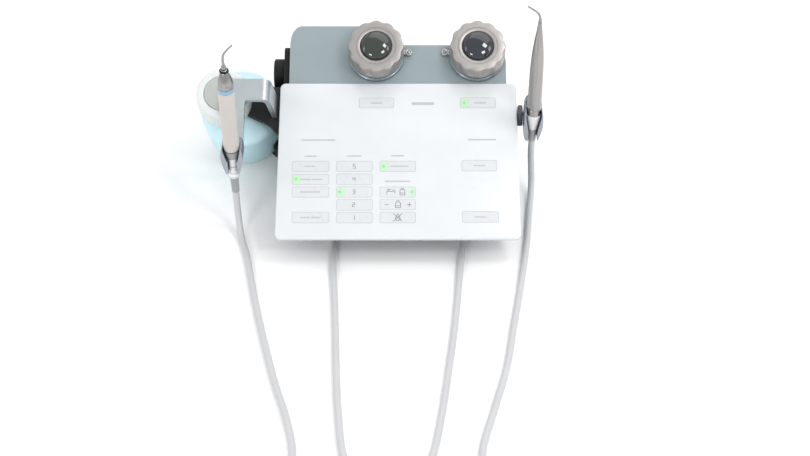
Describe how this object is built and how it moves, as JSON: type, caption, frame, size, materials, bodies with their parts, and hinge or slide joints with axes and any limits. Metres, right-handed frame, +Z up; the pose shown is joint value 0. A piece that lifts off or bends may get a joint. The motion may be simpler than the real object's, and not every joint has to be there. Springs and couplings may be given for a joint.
{
  "type": "ultrasonic scaler",
  "caption": "Table-top dental unit with a sloping touch panel, powder chambers under fluted caps, a water bottle, and corded scaling and polishing handpieces in side holders.",
  "frame": {"origin": "centre of the unit's footprint on the worktop, without the free cords", "axes": "+Z up, +X to the right along the touch panel, -Y towards the user"},
  "size_m": [0.3648, 0.6206, 0.2371],
  "materials": {
    "body_paint": "satin powder coat, light steel blue grey",
    "touch_glass": "back-painted white glass, glossy",
    "bare_steel": "satin stainless steel",
    "cap_metal": "satin bead-blasted warm grey",
    "smoked_glass": "dark glossy window",
    "jar_plastic": "translucent polycarbonate",
    "holder_alloy": "satin anodised",
    "black_plastic": "fine texture",
    "black_rubber": "matt",
    "bottle_plastic": "translucent light blue",
    "frosted_plastic": "translucent whitish",
    "stopper_rubber": "satin grey",
    "sleeve_plastic": "satin off-white",
    "blue_ring": "satin blue",
    "grey_plastic": "satin grey",
    "white_plastic": "satin white",
    "cord_rubber": "satin light grey silicone",
    "circuit_board": "green solder mask",
    "copper_core": "varnished winding"
  },
  "bodies": {
    "root": {"upper_housing": "body_paint", "base_tray": "body_paint", "chamber_collar_left": "body_paint", "chamber_collar_right": "body_paint", "touch_panel_glass": "touch_glass", "panel_carrier": "bare_steel", "rear_plate": "bare_steel", "pump_motor": "bare_steel", "air_inlet": "bare_steel", "water_inlet": "bare_steel", "powder_jar_left": "jar_plastic", "powder_jar_right": "jar_plastic", "scaler_holder": "holder_alloy", "polisher_holder": "holder_alloy", "valve_block": "holder_alloy", "pump_plate": "black_plastic", "pump_cover": "black_plastic", "bottle_clamp": "black_plastic", "bottle_cradle": "black_plastic", "holder_block": "black_plastic", "mains_inlet": "black_plastic", "pedal_socket": "black_plastic", "air_regulator": "black_plastic", "foot_front_left": "black_rubber", "foot_front_right": "black_rubber", "foot_rear_left": "black_rubber", "foot_rear_right": "black_rubber", "scaler_cord_gland": "grey_plastic", "polisher_cord_gland": "grey_plastic", "scaler_cord_unit": "cord_rubber", "scaler_cord_handpiece": "cord_rubber", "scaler_cord_coil": "cord_rubber", "polisher_cord_unit": "cord_rubber", "polisher_cord_handpiece": "cord_rubber", "polisher_cord_coil": "cord_rubber", "control_board": "circuit_board", "generator_board": "circuit_board", "power_transformer": "copper_core"},
    "cap_left_carrier": {"cap_seal_left": "black_rubber"},
    "cap_left": {"cap_ring_left": "cap_metal", "cap_window_left": "smoked_glass"},
    "cap_right_carrier": {"cap_seal_right": "black_rubber"},
    "cap_right": {"cap_ring_right": "cap_metal", "cap_window_right": "smoked_glass"},
    "bottle": {"water_bottle": "bottle_plastic"},
    "bottle_cap_carrier": {"cap_stopper": "stopper_rubber"},
    "bottle_cap": {"bottle_cap": "frosted_plastic"},
    "pump_rotor": {"pump_rotor": "grey_plastic"},
    "mains_switch": {"mains_switch": "black_rubber"},
    "scaler_handpiece": {"scaler_strain_relief": "grey_plastic", "scaler_connector": "white_plastic", "scaler_swivel": "grey_plastic", "scaler_sleeve": "sleeve_plastic", "scaler_light_ring": "blue_ring", "scaler_nose": "bare_steel", "scaler_tip": "bare_steel"},
    "polisher_handpiece": {"polisher_strain_relief": "grey_plastic", "polisher_coupling": "white_plastic", "polisher_body": "bare_steel", "polisher_nozzle": "bare_steel"}
  },
  "joints": [
    {"name": "cap_left_rise", "type": "slide", "parent": "root", "child": "cap_left_carrier", "axis": [0, -0.515, 0.8572], "range_m": [0, 0.0041]},
    {"name": "cap_left_turn", "type": "hinge", "parent": "cap_left_carrier", "child": "cap_left", "pos_m": [0.00635, 0.071, 0.1224], "axis": [0, -0.515, 0.8572], "range_deg": [0, 360]},
    {"name": "cap_right_rise", "type": "slide", "parent": "root", "child": "cap_right_carrier", "axis": [0, -0.515, 0.8572], "range_m": [0, 0.0041]},
    {"name": "cap_right_turn", "type": "hinge", "parent": "cap_right_carrier", "child": "cap_right", "pos_m": [0.11375, 0.071, 0.1224], "axis": [0, -0.515, 0.8572], "range_deg": [0, 360]},
    {"name": "bottle_out", "type": "slide", "parent": "root", "child": "bottle", "axis": [-1, 0, 0], "range_m": [0, 0.09]},
    {"name": "bottle_cap_rise", "type": "slide", "parent": "bottle", "child": "bottle_cap_carrier", "axis": [0, -0.515, 0.8572], "range_m": [0, 0.0041]},
    {"name": "bottle_cap_turn", "type": "hinge", "parent": "bottle_cap_carrier", "child": "bottle_cap", "pos_m": [-0.15385, 0.068, 0.024], "axis": [0, -0.515, 0.8572], "range_deg": [0, 360]},
    {"name": "pump_spin", "type": "hinge", "parent": "root", "child": "pump_rotor", "pos_m": [-0.09525, 0.0773, 0.093], "axis": [1, 0, 0], "continuous": true},
    {"name": "mains_rocker", "type": "hinge", "parent": "root", "child": "mains_switch", "pos_m": [-0.05425, 0.0998, 0.06], "axis": [1, 0, 0], "range_deg": [0, 14]},
    {"name": "scaler_out", "type": "slide", "parent": "root", "child": "scaler_handpiece", "axis": [0, -0.9962, 0.0872], "range_m": [0, 0.06]},
    {"name": "polisher_out", "type": "slide", "parent": "root", "child": "polisher_handpiece", "axis": [0, -0.9962, 0.0872], "range_m": [0, 0.06]}
  ],
  "couplings": [
    {"joint": "cap_left_rise", "follows": "cap_left_turn", "m_per_rad": 0.00063662},
    {"joint": "cap_right_rise", "follows": "cap_right_turn", "m_per_rad": 0.00063662},
    {"joint": "bottle_cap_rise", "follows": "bottle_cap_turn", "m_per_rad": 0.00063662}
  ]
}
